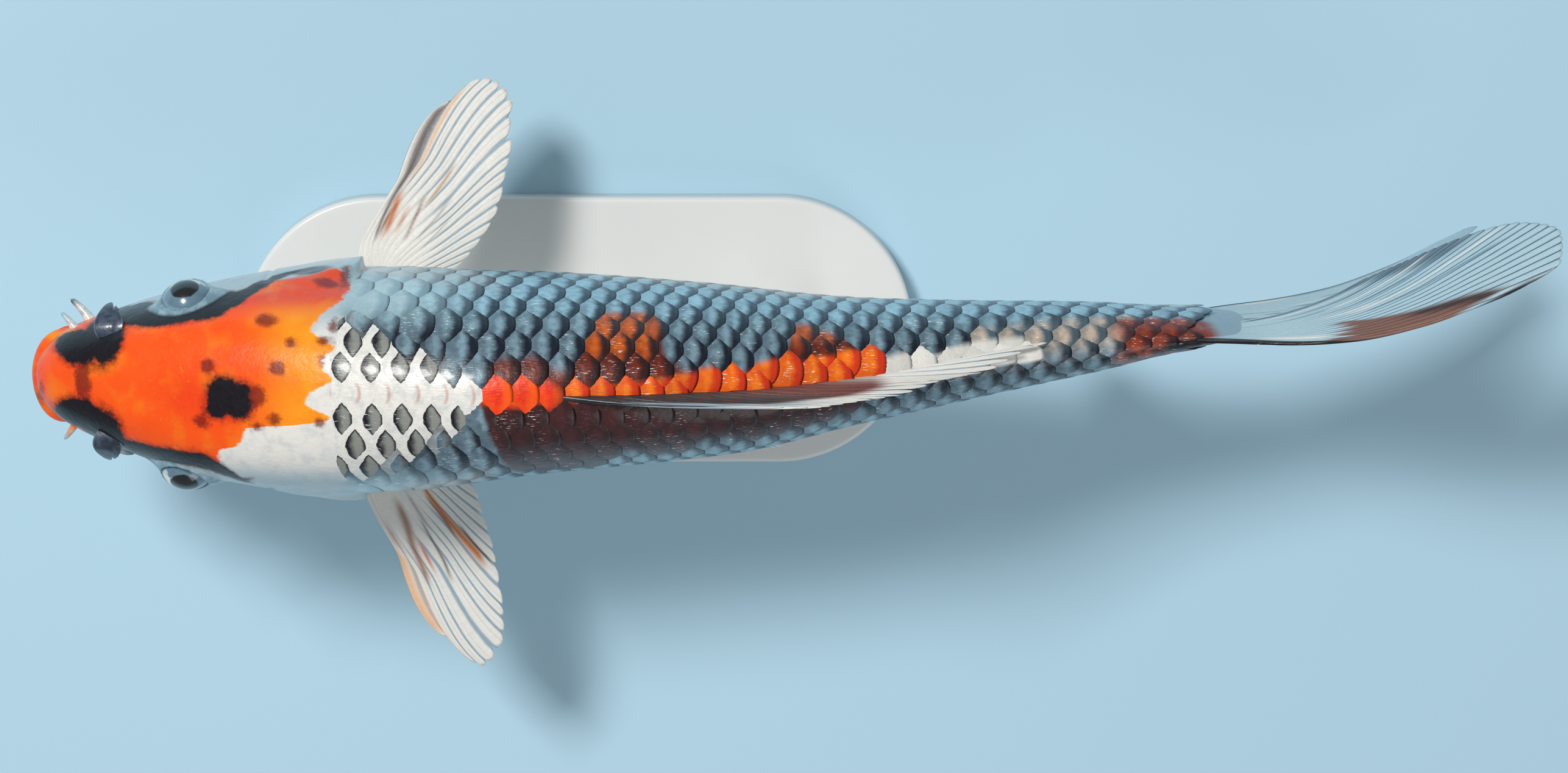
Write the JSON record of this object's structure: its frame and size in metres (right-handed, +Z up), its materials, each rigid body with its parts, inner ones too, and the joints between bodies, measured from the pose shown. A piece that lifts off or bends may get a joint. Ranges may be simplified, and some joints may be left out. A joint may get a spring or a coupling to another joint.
{
  "type": "koi carp display model",
  "caption": "Life-size still model of a koi carp swimming, with spread pectoral fins and swept tail, held over a flat base by slim rods.",
  "frame": {"origin": "centre of the underside of the stand's base, on the surface that it rests on", "axes": "+X from the fish's snout to its tail, +Y towards the fish's right side, +Z up"},
  "size_m": [0.32, 0.1255, 0.1115],
  "materials": {
    "skin": "wet white skin",
    "head": "wet orange-red skin with black bands",
    "scales": "wet blue-grey scales with a dark net",
    "fin": "thin white membrane over rays",
    "dark": "wet slate-black skin",
    "eye": "polished, with a clear front",
    "base": "satin paint",
    "steel": "brushed"
  },
  "bodies": {
    "root": {"head": "head", "trunk_front": "scales", "trunk_rear": "scales", "tail_stalk": "scales", "upper_lip": "head", "lower_lip": "head", "gill_cover_left": "skin", "gill_cover_right": "head", "eye_left": "eye", "eye_right": "eye", "nostril_flap_left": "dark", "nostril_flap_right": "dark", "barbel_front_left": "fin", "barbel_front_right": "fin", "barbel_rear_left": "fin", "barbel_rear_right": "fin", "pectoral_fin_left": "fin", "pectoral_fin_right": "fin", "pelvic_fin_left": "fin", "pelvic_fin_right": "fin", "dorsal_fin": "fin", "anal_fin": "fin", "tail_fin_upper": "fin", "tail_fin_lower": "fin", "stand_base": "base", "stand_rod_front": "steel", "stand_rod_rear": "steel"}
  },
  "joints": []
}
